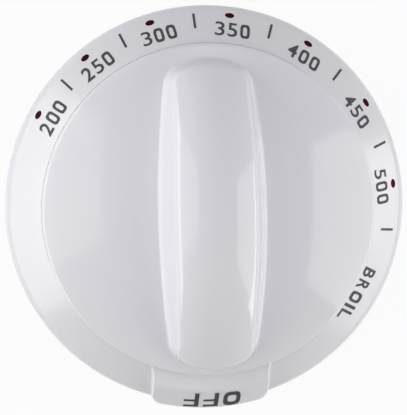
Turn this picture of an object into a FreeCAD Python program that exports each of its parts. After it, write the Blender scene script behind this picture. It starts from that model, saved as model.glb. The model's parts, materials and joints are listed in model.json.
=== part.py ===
import FreeCAD, Part
import math
import os
import Sketcher

# Oven thermostat knob: a grip moulding that drives the shaft, and a numbered dial skirt clamped behind
# its face so that the scale can be turned a little against the grip when the oven is calibrated.
# Millimetres and degrees. Origin: shaft axis in the plane of the rear rim. Z points at the user and the
# tab of the skirt points along -Y.

SIZES = (
    # dial skirt
    ("skirt_diameter", 70.0),        # round rim
    ("skirt_height", 6.5),           # rear plane to the crease at the face disc
    ("skirt_wall", 2.0),
    ("rim_height", 1.7),             # rear plane to the corner of rim and dial cone, before rounding
    ("rim_round", 2.6),
    ("rim_edge", 0.4),
    ("flange_thickness", 1.8),
    ("flange_bore", 40.0),
    # index grooves and stops behind the flange
    ("index_step", 4.8),             # turn for ten degrees of oven temperature
    ("index_count", 13),
    ("groove_width", 0.5),
    ("groove_depth", 0.4),
    ("groove_length", 3.2),
    ("groove_start", 24.4),
    ("stop_start", 24.0),
    ("stop_length", 2.6),
    ("stop_width", 2.4),
    ("stop_height", 1.0),
    ("stop_angle", 33.0),
    # raised tab at the off mark
    ("tab_width", 20.6),
    ("tab_flare", 3.25),
    ("tab_root", 28.9),              # axis to the start of the flare
    ("tab_overhang", 1.0),           # reach past the rim
    ("tab_land", 3.35),              # crease to the shoulder, before rounding
    ("tab_run", 3.45),               # shoulder to the end; land and run share the length of the tab
    ("tab_fall", 0.35),              # drop of the land on its way to the shoulder
    ("tab_foot", 1.4),
    ("tab_round", 2.2),
    ("tab_corner", 2.2),
    ("tab_edge", 0.3),
    # face disc
    ("face_diameter", 57.6),
    ("part_gap", 0.15),              # face disc to skirt, all round
    ("face_step", 2.2),              # face disc proud of the crease
    ("face_edge", 3.7),              # thickness of the disc at its edge
    ("face_wall", 2.3),
    ("face_dome", 75.0),
    ("face_round", 0.6),             # bevel that breaks the rim of the disc
    ("ring_wall", 1.8),              # locating ring inside the flange
    ("ring_depth", 1.5),
    ("ring_clearance", 0.08),
    # grip bar
    ("grip_length", 53.0),           # at the level of the face edge
    ("grip_width", 20.0),
    ("grip_waist", 4.6),             # how much narrower the bar is at its corners
    ("grip_bulge", 4.2),             # how far the end reaches past the bowed sides
    ("grip_height", 24.3),           # rear plane to the highest point
    ("grip_draft", 11.5),
    ("grip_arch", 40.0),             # radius along the bar
    ("grip_crown", 18.0),            # radius across the bar
    ("grip_corner", 4.2),
    ("grip_edge", 0.45),
    ("grip_foot", 0.8),
    ("grip_wall", 2.3),
    ("core_corner", 4.9),
    ("core_depth", 5.6),             # core of the bar starts this far below the face edge
    ("rib_thickness", 1.6),
    ("rib_setback", 1.6),
    # shaft stem and its socket
    ("shaft_diameter", 6.35),
    ("shaft_clearance", 0.15),       # on the diameter
    ("shaft_flat", 1.6),             # axis to the flat of the shaft
    ("socket_depth", 16.0),
    ("socket_chamfer", 0.4),
    ("stem_diameter", 11.5),
    # spring clip on the flat
    ("clip_thickness", 0.5),
    ("clip_width", 4.4),
    ("clip_wall", 2.15),             # stem wall held by the clip
    ("clip_inner_leg", 11.0),
    ("clip_outer_leg", 7.0),
    ("clip_bend", 0.7),
    ("clip_gap", 0.2),               # beside the clip in its seat
    ("clip_inset", 0.1),             # clip to the rear plane
    # screw bosses, clamp plate and screws
    ("screw_spacing", 28.0),
    ("boss_diameter", 6.4),
    ("boss_gap", 0.2),               # boss to clamp plate, so that the plate grips the flange
    ("pilot_depth", 4.2),
    ("pilot_clearance", 0.1),
    ("plate_diameter", 46.0),
    ("plate_thickness", 1.0),
    ("plate_bore", 13.0),
    ("plate_hole", 3.4),
    ("pointer_length", 3.5),
    ("pointer_width", 4.4),
    ("screw_diameter", 2.9),
    ("screw_length", 5.0),
    ("head_diameter", 5.6),
    ("head_height", 1.9),
    ("head_round", 0.7),             # bevel round the head
    ("recess_length", 3.0),
    ("recess_width", 0.8),
    ("recess_depth", 1.0),
)

document = FreeCAD.newDocument("oven_knob")
sheet = document.addObject("Spreadsheet::Sheet", "Sizes")
for row, (name, size) in enumerate(SIZES, start=1):
    sheet.set(f"A{row}", name)
    sheet.set(f"B{row}", str(size))
    sheet.setAlias(f"B{row}", name)
document.recompute()

# Formulas that more than one feature reads.
SKIRT_R = "(Sizes.skirt_diameter / 2)"
FACE_R = "(Sizes.face_diameter / 2)"
BORE_R = "(Sizes.face_diameter / 2 + Sizes.part_gap)"
DIAL_SLOPE = f"((Sizes.skirt_height - Sizes.rim_height) / ({SKIRT_R} - {BORE_R}))"
EDGE_Z = "(Sizes.skirt_height + Sizes.face_step)"
SEAT_Z = f"({EDGE_Z} - Sizes.face_edge)"
FLANGE_Z = f"({SEAT_Z} - Sizes.flange_thickness)"
PLATE_Z = f"({FLANGE_Z} - Sizes.plate_thickness)"
HEAD_Z = f"({PLATE_Z} - Sizes.head_height)"
RING_Z = f"({SEAT_Z} - Sizes.ring_depth)"
RING_R = "(Sizes.flange_bore / 2 - Sizes.ring_clearance)"
DOME_RISE = f"(Sizes.face_dome - sqrt(Sizes.face_dome ^ 2 - {FACE_R} ^ 2))"
DOME_Z = f"({EDGE_Z} + {DOME_RISE})"
UNDER_R = f"({RING_R} - Sizes.ring_wall)"
UNDER_Z = f"({DOME_Z} - Sizes.face_dome + sqrt(Sizes.face_dome ^ 2 - {UNDER_R} ^ 2) - Sizes.face_wall)"
ARCH_Z = "(Sizes.grip_height - Sizes.grip_arch)"
TAB_R = f"({SKIRT_R} + Sizes.tab_overhang)"
TAB_LAND = f"(({TAB_R} - {BORE_R}) * Sizes.tab_land / (Sizes.tab_land + Sizes.tab_run))"
TAB_SHOULDER_R = f"({BORE_R} + {TAB_LAND})"
TAB_SHOULDER_Z = "(Sizes.skirt_height - Sizes.tab_fall)"
SOCKET_R = "((Sizes.shaft_diameter + Sizes.shaft_clearance) / 2)"
SOCKET_FLAT = "(Sizes.shaft_flat + Sizes.clip_thickness)"
CLIP_SEAT = f"({SOCKET_FLAT} + Sizes.clip_wall)"
CLIP_BACK = f"({CLIP_SEAT} + Sizes.clip_thickness)"
CLIP_NOTCH = "(Sizes.clip_thickness + Sizes.clip_inset)"
BOSS_Z = f"({FLANGE_Z} + Sizes.boss_gap)"


# How an arc of an outline is bowed.
OUT = "out"
IN = "in"
ROUND = "over half round"


def value(formula):
    """The present value of a formula on the sheet."""
    found = sheet.evalExpression(formula)
    return float(getattr(found, "Value", found))


def new_body(name):
    return document.addObject("PartDesign::Body", name)


def new_sketch(body, name, plane, lift=None, side=None):
    """A sketch on one of the body's origin planes, lifted off it or moved along the plane's own axis."""
    sketch = body.newObject("Sketcher::SketchObject", name)
    support = next(item for item in body.Origin.OriginFeatures if item.Role == plane)
    sketch.AttachmentSupport = [(support, "")]
    sketch.MapMode = "FlatFace"
    if lift:
        sketch.setExpression("AttachmentOffset.Base.z", lift)
    if side:
        sketch.setExpression("AttachmentOffset.Base." + side[0], side[1])
    return sketch


def bind(sketch, constraint, formula):
    number = sketch.addConstraint(constraint)
    sketch.setExpression(f"Constraints[{number}]", formula)


def place(sketch, edge, end, across, along):
    """Fixes one end of an edge by its distances from the sketch's origin."""
    for kind, formula, axis in (("DistanceX", across, -2), ("DistanceY", along, -1)):
        if formula == "0":
            sketch.addConstraint(Sketcher.Constraint("PointOnObject", edge, end, axis))
        else:
            bind(sketch, Sketcher.Constraint(kind, -1, 1, edge, end, value(formula)), formula)


def arc_between(start, finish, radius, bow):
    """An arc between two points of a counter-clockwise outline: bowed out, bowed in, or over half round."""
    chord = finish - start
    middle = (start + finish) * 0.5
    height = math.sqrt(radius ** 2 - (chord.Length / 2) ** 2)
    left = FreeCAD.Vector(-chord.y, chord.x, 0).normalize()
    centre = middle + left * (height if bow == OUT else -height)
    first, last = (finish, start) if bow == IN else (start, finish)
    circle = Part.Circle(centre, FreeCAD.Vector(0, 0, 1), radius)
    first_angle = math.atan2(first.y - centre.y, first.x - centre.x)
    last_angle = math.atan2(last.y - centre.y, last.x - centre.x)
    if last_angle < first_angle:
        last_angle += 2 * math.pi
    return Part.ArcOfCircle(circle, first_angle, last_angle)


def draw_outline(sketch, corners, arcs=None):
    """Draws a closed counter-clockwise outline with every corner fixed by two formulas.

    arcs maps the number of an edge to its radius formula and its bow.
    """
    arcs = arcs or {}
    spots = [FreeCAD.Vector(value(across), value(along), 0) for across, along in corners]
    edges = []
    for number, start in enumerate(spots):
        finish = spots[(number + 1) % len(spots)]
        if number in arcs:
            radius, bow = arcs[number]
            edge = sketch.addGeometry(arc_between(start, finish, value(radius), bow))
            bind(sketch, Sketcher.Constraint("Radius", edge, value(radius)), radius)
            edges.append((edge, 2, 1) if bow == IN else (edge, 1, 2))
        else:
            edge = sketch.addGeometry(Part.LineSegment(start, finish))
            edges.append((edge, 1, 2))
    for number, (edge, first, last) in enumerate(edges):
        after, after_first, _ = edges[(number + 1) % len(edges)]
        sketch.addConstraint(Sketcher.Constraint("Coincident", edge, last, after, after_first))
        place(sketch, edge, first, *corners[number])


def draw_circle(sketch, across, along, radius):
    centre = FreeCAD.Vector(value(across), value(along), 0)
    edge = sketch.addGeometry(Part.Circle(centre, FreeCAD.Vector(0, 0, 1), value(radius)))
    bind(sketch, Sketcher.Constraint("Radius", edge, value(radius)), radius)
    place(sketch, edge, 3, across, along)


def add_pad(body, name, sketch, length, both_sides=False, reverse=False, kind="Pad"):
    feature = body.newObject("PartDesign::" + kind, name)
    feature.Profile = sketch
    feature.setExpression("Length", length)
    feature.Midplane = both_sides
    feature.Reversed = reverse
    document.recompute()
    return feature


def add_turn(body, name, sketch, axis="V_Axis"):
    feature = body.newObject("PartDesign::Revolution", name)
    feature.Profile = sketch
    feature.ReferenceAxis = (sketch, [axis])
    feature.Angle = 360
    document.recompute()
    return feature


def add_boolean(body, name, kind, tool):
    feature = body.newObject("PartDesign::Boolean", name)
    feature.Type = kind
    feature.setObjects([tool])
    document.recompute()
    return feature


def add_dressing(body, name, wanted, size, kind="Fillet"):
    """Rounds or chamfers the edges of the body's present shape that the wanted test picks."""
    base = body.Tip
    names = [f"Edge{number}" for number, edge in enumerate(base.Shape.Edges, start=1) if wanted(edge)]
    if not names:
        raise RuntimeError(f"no edge found for {name}")
    feature = body.newObject("PartDesign::" + kind, name)
    feature.Base = (base, names)
    feature.setExpression("Radius" if kind == "Fillet" else "Size", size)
    document.recompute()
    return feature


def on_circle(radius, height):
    """A test for full or part circles about the knob's axis at a radius and a height."""
    def test(edge):
        box = edge.BoundBox
        if box.ZLength > 1e-4 or abs(box.ZMin - height) > 1e-3:
            return False
        return all(abs(math.hypot(spot.X, spot.Y) - radius) < 1e-3 for spot in edge.Vertexes)
    return test


def draw_bar(sketch, inset, round_radius):
    """Draws the bar's plan at the level of the face edge: bowed sides and ends joined by tangent rounds."""
    half = f"(Sizes.grip_width / 2 - {inset})"
    end = f"(Sizes.grip_length / 2 - {inset})"
    bow = "(Sizes.grip_waist / 2)"
    side_x = f"({half} - {bow})"
    side_y = f"({end} - Sizes.grip_bulge)"
    side_r = f"(({side_y} ^ 2 + {bow} ^ 2) / (2 * {bow}))"
    round_x = f"({side_x} - {round_radius} * ({side_r} - {bow}) / {side_r})"
    round_y = f"({side_y} - {round_radius} * {side_y} / {side_r})"
    past = f"({end} - {round_y})"
    end_r = f"(({round_x} ^ 2 + {past} ^ 2 - {round_radius} ^ 2) / (2 * ({past} - {round_radius})))"
    scale = f"({end_r} / ({end_r} - {round_radius}))"
    end_x = f"({round_x} * {scale})"
    end_y = f"({end} - {end_r} + ({end_r} - {past}) * {scale})"
    corners = (
        (side_x, f"-{side_y}"),
        (side_x, side_y),
        (end_x, end_y),
        (f"-{end_x}", end_y),
        (f"-{side_x}", side_y),
        (f"-{side_x}", f"-{side_y}"),
        (f"-{end_x}", f"-{end_y}"),
        (end_x, f"-{end_y}"),
    )
    radii = (side_r, round_radius, end_r, round_radius) * 2
    draw_outline(sketch, corners, {number: (radius, OUT) for number, radius in enumerate(radii)})


def add_bar(body, name, inset, round_radius, below):
    """Pads the bar's plan up from the level of the face edge, or from below it, and drafts its walls."""
    sketch = new_sketch(body, name + "_plan", "XY_Plane", lift=f"{EDGE_Z} - {below}")
    draw_bar(sketch, inset, round_radius)
    block = add_pad(body, name + "_block", sketch, f"Sizes.grip_height + 1 - {EDGE_Z} + {below}")
    walls = [f"Face{number}" for number, face in enumerate(block.Shape.Faces, start=1)
             if abs(face.normalAt(0, 0).z) < 0.5]
    draft = body.newObject("PartDesign::Draft", name + "_draft")
    draft.Base = (block, walls)
    draft.NeutralPlane = (sketch, [""])
    draft.setExpression("Angle", "Sizes.grip_draft")
    document.recompute()
    return draft


def make_crown():
    """Barrel whose skin is the bar's arched and crowned top, with its seam far below."""
    body = new_body("crown")
    sketch = new_sketch(body, "crown_section", "XZ_Plane", side=("y", ARCH_Z))
    half = "(Sizes.grip_width / 2 + 2)"
    side = f"(Sizes.grip_arch - Sizes.grip_crown + sqrt(Sizes.grip_crown ^ 2 - {half} ^ 2))"
    corners = ((f"-{half}", "0"), (f"-{half}", f"-{side}"), (half, f"-{side}"), (half, "0"))
    draw_outline(sketch, corners, {1: ("Sizes.grip_crown", OUT)})
    add_turn(body, "crown_barrel", sketch, "H_Axis")
    return body


def make_core_arch():
    """Drum whose skin is the roof of the core, one wall below the bar's arch."""
    body = new_body("core_arch")
    sketch = new_sketch(body, "core_arch_section", "YZ_Plane")
    draw_circle(sketch, "0", ARCH_Z, "Sizes.grip_arch - Sizes.grip_wall")
    add_pad(body, "core_arch_drum", sketch, "Sizes.grip_width", both_sides=True)
    return body


def make_disc():
    """Face disc with its dome, the seat for the flange and the locating ring."""
    disc = new_body("disc")
    section = new_sketch(disc, "disc_section", "XZ_Plane")
    corners = (
        ("0", UNDER_Z),
        (UNDER_R, UNDER_Z),
        (UNDER_R, RING_Z),
        (RING_R, RING_Z),
        (RING_R, SEAT_Z),
        (FACE_R, SEAT_Z),
        (FACE_R, DOME_Z),
        ("0", DOME_Z),
    )
    draw_outline(section, corners)
    add_turn(disc, "disc_blank", section)
    dome = new_body("dome")
    ball = dome.newObject("PartDesign::AdditiveSphere", "dome_ball")
    ball.setExpression("Radius", "Sizes.face_dome")
    ball.Placement = FreeCAD.Placement(FreeCAD.Vector(), FreeCAD.Rotation(FreeCAD.Vector(1, 0, 0), 90))
    dome.setExpression("Placement.Base.z", f"{DOME_Z} - Sizes.face_dome")
    document.recompute()
    add_boolean(disc, "disc_top", "Common", dome)
    rim = on_circle(value(FACE_R), value(EDGE_Z))
    add_dressing(disc, "disc_edge", rim, "Sizes.face_round", kind="Chamfer")
    return disc


def build_grip_knob():
    body = new_body("grip_knob")
    add_bar(body, "bar", "0", "Sizes.grip_corner", "0")
    add_boolean(body, "bar_top", "Common", make_crown())
    low = value(EDGE_Z) + 0.01

    def rim_of_top(edge):
        if edge.BoundBox.ZMin < low + 1:
            return False
        return edge.BoundBox.ZLength < 0.75 * (value("Sizes.grip_height") - low)
    add_dressing(body, "bar_edge", rim_of_top, "Sizes.grip_edge", kind="Chamfer")

    add_boolean(body, "face", "Fuse", make_disc())

    dome_radius = value("Sizes.face_dome")
    dome_centre = FreeCAD.Vector(0, 0, value(DOME_Z) - dome_radius)

    def foot(edge):
        if edge.BoundBox.ZMin < low:
            return False
        if any(abs(spot.Point.distanceToPoint(dome_centre) - dome_radius) > 0.01 for spot in edge.Vertexes):
            return False
        return all(math.hypot(spot.X, spot.Y) < value(FACE_R) - 1.5 for spot in edge.Vertexes)
    add_dressing(body, "bar_foot", foot, "Sizes.grip_foot", kind="Chamfer")

    cavity = new_body("cavity")
    core_inset = "(Sizes.grip_wall - Sizes.core_depth * tan(Sizes.grip_draft))"
    add_bar(cavity, "core", core_inset, "Sizes.core_corner", "Sizes.core_depth")
    add_boolean(cavity, "core_top", "Common", make_core_arch())
    add_boolean(body, "hollow", "Cut", cavity)

    stem = new_sketch(body, "stem_section", "XY_Plane")
    draw_circle(stem, "0", "0", "Sizes.stem_diameter / 2")
    add_pad(body, "stem", stem, "Sizes.grip_height - Sizes.grip_wall / 2")

    rib = new_sketch(body, "rib_section", "YZ_Plane")
    rib_r = "(Sizes.grip_arch - Sizes.grip_wall / 2)"
    rib_y = "(Sizes.grip_length / 2 - Sizes.grip_wall)"
    rib_low = f"({SEAT_Z} + Sizes.rib_setback)"
    rib_high = f"({ARCH_Z} + sqrt({rib_r} ^ 2 - {rib_y} ^ 2))"
    corners = ((f"-{rib_y}", rib_low), (rib_y, rib_low), (rib_y, rib_high), (f"-{rib_y}", rib_high))
    draw_outline(rib, corners, {2: (rib_r, OUT)})
    add_pad(body, "rib", rib, "Sizes.rib_thickness", both_sides=True)

    bosses = new_sketch(body, "boss_section", "XY_Plane", lift=BOSS_Z)
    for sign in ("", "-"):
        draw_circle(bosses, f"{sign}Sizes.screw_spacing / 2", "0", "Sizes.boss_diameter / 2")
    add_pad(body, "bosses", bosses, f"{UNDER_Z} + Sizes.face_wall / 2 - {BOSS_Z}")
    pilots = new_sketch(body, "pilot_section", "XY_Plane", lift=BOSS_Z)
    for sign in ("", "-"):
        draw_circle(pilots, f"{sign}Sizes.screw_spacing / 2", "0",
                    "(Sizes.screw_diameter + Sizes.pilot_clearance) / 2")
    add_pad(body, "pilots", pilots, "Sizes.pilot_depth", reverse=True, kind="Pocket")

    socket = new_sketch(body, "socket_section", "XY_Plane")
    chord = f"sqrt({SOCKET_R} ^ 2 - {SOCKET_FLAT} ^ 2)"
    draw_outline(socket, ((chord, SOCKET_FLAT), (f"-{chord}", SOCKET_FLAT)), {1: (SOCKET_R, ROUND)})
    add_pad(body, "socket", socket, "Sizes.socket_depth", reverse=True, kind="Pocket")
    add_dressing(body, "socket_mouth", on_circle(value(SOCKET_R), 0), "Sizes.socket_chamfer", kind="Chamfer")

    half = "(Sizes.clip_width / 2 + Sizes.clip_gap)"
    seat = new_sketch(body, "clip_seat_section", "XY_Plane")
    outside = "(Sizes.stem_diameter / 2 + 1)"
    draw_outline(seat, ((f"-{half}", CLIP_SEAT), (half, CLIP_SEAT), (half, outside), (f"-{half}", outside)))
    add_pad(body, "clip_seat", seat, "Sizes.clip_outer_leg + Sizes.clip_gap", reverse=True, kind="Pocket")
    notch = new_sketch(body, "clip_notch_section", "XY_Plane")
    draw_outline(notch, ((f"-{half}", "0"), (half, "0"), (half, outside), (f"-{half}", outside)))
    add_pad(body, "clip_notch", notch, CLIP_NOTCH, reverse=True, kind="Pocket")
    return body


def build_dial_skirt():
    body = new_body("dial_skirt")
    ring = new_sketch(body, "skirt_section", "XZ_Plane")
    inner = f"({SKIRT_R} - Sizes.skirt_wall)"
    slant = f"(Sizes.skirt_wall * sqrt(1 + {DIAL_SLOPE} ^ 2))"
    knee_z = f"(Sizes.rim_height + Sizes.skirt_wall * {DIAL_SLOPE} - {slant})"
    root_r = f"({SKIRT_R} - ({FLANGE_Z} - Sizes.rim_height + {slant}) / {DIAL_SLOPE})"
    cone = f"sqrt(({SKIRT_R} - {BORE_R}) ^ 2 + (Sizes.skirt_height - Sizes.rim_height) ^ 2)"
    cone_r = f"(({SKIRT_R} - {BORE_R}) / {cone})"
    cone_z = f"((Sizes.skirt_height - Sizes.rim_height) / {cone})"
    tangent = f"(Sizes.rim_round * sqrt((1 - {cone_z}) / (1 + {cone_z})))"
    corners = (
        (inner, "0"),
        (f"({SKIRT_R} - Sizes.rim_edge)", "0"),
        (SKIRT_R, "Sizes.rim_edge"),
        (SKIRT_R, f"(Sizes.rim_height - {tangent})"),
        (f"({SKIRT_R} - {cone_r} * {tangent})", f"(Sizes.rim_height + {cone_z} * {tangent})"),
        (BORE_R, "Sizes.skirt_height"),
        (BORE_R, SEAT_Z),
        ("Sizes.flange_bore / 2", SEAT_Z),
        ("Sizes.flange_bore / 2", FLANGE_Z),
        (root_r, FLANGE_Z),
        (inner, knee_z),
    )
    draw_outline(ring, corners, {3: ("Sizes.rim_round", OUT)})
    add_turn(body, "ring", ring)

    tab = new_body("tab")
    plan = new_sketch(tab, "tab_plan", "XY_Plane")
    half = "(Sizes.tab_width / 2)"
    flare = f"({half} + Sizes.tab_flare * (1 - cos(60)))"
    inside = "(Sizes.tab_root - Sizes.tab_flare * sin(60))"
    outside = f"sqrt(({TAB_R} - Sizes.tab_corner) ^ 2 - ({half} - Sizes.tab_corner) ^ 2)"
    turn_x = f"({half} - Sizes.tab_corner) * {TAB_R} / ({TAB_R} - Sizes.tab_corner)"
    turn_y = f"{outside} * {TAB_R} / ({TAB_R} - Sizes.tab_corner)"
    corners = (
        (flare, f"-{inside}"),
        (f"-{flare}", f"-{inside}"),
        (f"-{half}", "-Sizes.tab_root"),
        (f"-{half}", f"-{outside}"),
        (f"-({turn_x})", f"-({turn_y})"),
        (turn_x, f"-({turn_y})"),
        (half, f"-{outside}"),
        (half, "-Sizes.tab_root"),
    )
    arcs = {
        1: ("Sizes.tab_flare", IN),
        3: ("Sizes.tab_corner", OUT),
        4: (TAB_R, OUT),
        5: ("Sizes.tab_corner", OUT),
        7: ("Sizes.tab_flare", IN),
    }
    draw_outline(plan, corners, arcs)
    add_pad(tab, "tab_block", plan, "Sizes.skirt_height + 1")
    form = new_body("tab_form")
    section = new_sketch(form, "tab_section", "XZ_Plane")
    face = f"sqrt(({TAB_R} - {TAB_SHOULDER_R}) ^ 2 + ({TAB_SHOULDER_Z} - Sizes.tab_foot) ^ 2)"
    face_r = f"(({TAB_R} - {TAB_SHOULDER_R}) / {face})"
    face_z = f"(({TAB_SHOULDER_Z} - Sizes.tab_foot) / {face})"
    land = f"sqrt({TAB_LAND} ^ 2 + Sizes.tab_fall ^ 2)"
    land_r = f"({TAB_LAND} / {land})"
    land_z = f"(Sizes.tab_fall / {land})"
    fold = f"(-{face_r} * {land_r} - {face_z} * {land_z})"
    half_turn = f"sqrt((1 + {fold}) / (1 - {fold}))"
    shoulder_round = f"min(Sizes.tab_round; 0.9 * {TAB_LAND} / {half_turn})"
    tangent = f"({shoulder_round} * {half_turn})"
    corners = (
        (f"({SKIRT_R} - Sizes.skirt_wall / 2)", "0"),
        (TAB_R, "0"),
        (TAB_R, "Sizes.tab_foot"),
        (f"({TAB_SHOULDER_R} + {face_r} * {tangent})", f"({TAB_SHOULDER_Z} - {face_z} * {tangent})"),
        (f"({TAB_SHOULDER_R} - {land_r} * {tangent})", f"({TAB_SHOULDER_Z} + {land_z} * {tangent})"),
        (BORE_R, "Sizes.skirt_height"),
        (BORE_R, "(Sizes.skirt_height - Sizes.skirt_wall / 2)"),
        (f"({SKIRT_R} - Sizes.skirt_wall / 2)", "(Sizes.rim_height - Sizes.skirt_wall / 2)"),
    )
    draw_outline(section, corners, {3: (shoulder_round, OUT)})
    add_turn(form, "tab_ring", section)
    add_boolean(tab, "tab_trim", "Common", form)

    def tab_brim(edge):
        middle = edge.valueAt((edge.FirstParameter + edge.LastParameter) / 2)
        reach = math.hypot(middle.x, middle.y)
        box = edge.BoundBox
        if box.ZLength < 1e-3:
            return middle.z > 0.5 and abs(reach - value(TAB_R)) < 1e-3
        above = middle.z - value("Sizes.skirt_height") + value(DIAL_SLOPE) * (reach - value(BORE_R))
        return above > 0.05 and box.XLength + box.YLength > 1e-3
    add_dressing(tab, "tab_brim", tab_brim, "Sizes.tab_edge", kind="Chamfer")
    add_boolean(body, "skirt_tab", "Fuse", tab)

    hollow = new_body("tab_hollow")
    plan = new_sketch(hollow, "hollow_plan", "XY_Plane")
    half = "(Sizes.tab_width / 2 - Sizes.skirt_wall)"
    reach = f"({TAB_R} + 1)"
    corners = (
        (f"-{half}", f"-{reach}"),
        (half, f"-{reach}"),
        (half, f"-{inside}"),
        (f"-{half}", f"-{inside}"),
    )
    draw_outline(plan, corners)
    add_pad(hollow, "hollow_block", plan, "Sizes.skirt_height")
    form = new_body("hollow_form")
    section = new_sketch(form, "hollow_section", "XZ_Plane")
    hollow_in = f"({TAB_SHOULDER_R} - Sizes.skirt_wall)"
    hollow_out = f"({TAB_R} - Sizes.skirt_wall)"
    corners = (
        (hollow_in, "0"),
        (hollow_out, "0"),
        (hollow_out, "(Sizes.tab_foot - Sizes.skirt_wall)"),
        (hollow_in, f"({TAB_SHOULDER_Z} - Sizes.skirt_wall)"),
    )
    draw_outline(section, corners)
    add_turn(form, "hollow_ring", section)
    add_boolean(hollow, "hollow_trim", "Common", form)
    add_boolean(body, "skirt_hollow", "Cut", hollow)

    groove = new_sketch(body, "groove_section", "XY_Plane", lift=FLANGE_Z)
    groove.setExpression("AttachmentOffset.Rotation.Angle", "Sizes.index_step * (Sizes.index_count - 1) / 2")
    half = "(Sizes.groove_width / 2)"
    start = "Sizes.groove_start"
    finish = "(Sizes.groove_start + Sizes.groove_length)"
    draw_outline(groove, ((f"-{half}", start), (half, start), (half, finish), (f"-{half}", finish)))
    cut = add_pad(body, "groove", groove, "Sizes.groove_depth", reverse=True, kind="Pocket")
    grooves = body.newObject("PartDesign::PolarPattern", "grooves")
    grooves.Originals = [cut]
    grooves.Axis = (groove, ["N_Axis"])
    grooves.Reversed = True
    grooves.setExpression("Angle", "Sizes.index_step * (Sizes.index_count - 1)")
    grooves.setExpression("Occurrences", "Sizes.index_count")
    body.Tip = grooves
    document.recompute()

    for number, sign in enumerate(("", "-"), start=1):
        stop = new_sketch(body, f"stop_section_{number}", "XY_Plane", lift=FLANGE_Z)
        stop.setExpression("AttachmentOffset.Rotation.Angle", f"{sign}Sizes.stop_angle")
        near = "0" if sign else "-Sizes.stop_width"
        far = "Sizes.stop_width" if sign else "0"
        start = "Sizes.stop_start"
        finish = "(Sizes.stop_start + Sizes.stop_length)"
        draw_outline(stop, ((near, start), (far, start), (far, finish), (near, finish)))
        add_pad(body, f"stop_{number}", stop, "Sizes.stop_height", reverse=True)
    return body


def build_clamp_plate():
    body = new_body("clamp_plate")
    plan = new_sketch(body, "plate_plan", "XY_Plane", lift=PLATE_Z)
    radius = "(Sizes.plate_diameter / 2)"
    half = "(Sizes.pointer_width / 2)"
    base = f"sqrt({radius} ^ 2 - {half} ^ 2)"
    corners = ((half, base), ("0", f"({radius} + Sizes.pointer_length)"), (f"-{half}", base))
    draw_outline(plan, corners, {2: (radius, ROUND)})
    draw_circle(plan, "0", "0", "Sizes.plate_bore / 2")
    for sign in ("", "-"):
        draw_circle(plan, f"{sign}Sizes.screw_spacing / 2", "0", "Sizes.plate_hole / 2")
    add_pad(body, "plate", plan, "Sizes.plate_thickness")
    return body


def build_clamp_screws():
    body = new_body("clamp_screws")
    section = new_sketch(body, "screw_section", "XZ_Plane", side=("x", "Sizes.screw_spacing / 2"))
    head = "(Sizes.head_diameter / 2)"
    shank = "(Sizes.screw_diameter / 2)"
    corners = (
        ("0", HEAD_Z),
        (head, HEAD_Z),
        (head, PLATE_Z),
        (shank, PLATE_Z),
        (shank, f"({PLATE_Z} + Sizes.screw_length)"),
        ("0", f"({PLATE_Z} + Sizes.screw_length)"),
    )
    draw_outline(section, corners)
    add_turn(body, "screw", section)
    low = value(HEAD_Z)

    def head_rim(edge):
        return edge.BoundBox.ZMax < low + 1e-3 and edge.BoundBox.XLength > 1
    add_dressing(body, "head_edge", head_rim, "Sizes.head_round", kind="Chamfer")
    centre = ("x", "Sizes.screw_spacing / 2")
    recess = new_sketch(body, "recess_section", "XY_Plane", lift=HEAD_Z, side=centre)
    near = "(Sizes.recess_width / 2)"
    far = "(Sizes.recess_length / 2)"
    corners = (
        (far, f"-{near}"), (far, near), (near, near), (near, far), (f"-{near}", far), (f"-{near}", near),
        (f"-{far}", near), (f"-{far}", f"-{near}"), (f"-{near}", f"-{near}"), (f"-{near}", f"-{far}"),
        (near, f"-{far}"), (near, f"-{near}"),
    )
    draw_outline(recess, corners)
    add_pad(body, "recess", recess, "Sizes.recess_depth", reverse=True, kind="Pocket")
    pair = body.newObject("PartDesign::Mirrored", "pair")
    pair.Originals = [feature for feature in body.Group if feature.Name in ("screw", "head_edge", "recess")]
    pair.MirrorPlane = (next(item for item in body.Origin.OriginFeatures if item.Role == "YZ_Plane"), [""])
    body.Tip = pair
    document.recompute()
    return body


def build_shaft_clip():
    body = new_body("shaft_clip")
    section = new_sketch(body, "clip_section", "YZ_Plane")
    front = "Sizes.shaft_flat"
    corners = (
        (front, "Sizes.clip_inset"),
        (CLIP_BACK, "Sizes.clip_inset"),
        (CLIP_BACK, "Sizes.clip_outer_leg"),
        (CLIP_SEAT, "Sizes.clip_outer_leg"),
        (CLIP_SEAT, CLIP_NOTCH),
        (SOCKET_FLAT, CLIP_NOTCH),
        (SOCKET_FLAT, "Sizes.clip_inner_leg"),
        (front, "Sizes.clip_inner_leg"),
    )
    draw_outline(section, corners)
    add_pad(body, "strip", section, "Sizes.clip_width", both_sides=True)

    def outer_bend(edge):
        box = edge.BoundBox
        return box.XLength > 1 and box.ZMax < value("Sizes.clip_inset") + 1e-3
    add_dressing(body, "bends", outer_bend, "Sizes.clip_bend")
    return body


def check(body):
    """Stops the build when a feature or a finished shape is not sound."""
    for item in document.Objects:
        if "Invalid" in item.State or "Error" in item.State:
            raise RuntimeError(f"{item.Name} is in state {item.State}")
    shape = body.Shape
    if shape.isNull() or not shape.isValid() or not shape.Solids:
        raise RuntimeError(f"{body.Label} has no sound shape")


builders = (build_grip_knob, build_dial_skirt, build_clamp_plate, build_clamp_screws, build_shaft_clip)
bodies = [builder() for builder in builders]
document.recompute()
for body in bodies:
    check(body)
os.makedirs("parts", exist_ok=True)
for body in bodies:
    print(body.Label, len(body.Shape.Solids), "solids", round(body.Shape.Volume, 1), "mm3")
    body.Shape.exportStep(f"parts/{body.Label}.step")
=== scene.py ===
"""Dresses the oven control knob: smooth mouldings, printed scale, metalwork, studio and camera."""

import json
import logging
import math
from collections.abc import Callable
from dataclasses import dataclass
from enum import Enum

import bmesh
import bpy
from mathutils import Matrix, Vector

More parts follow.
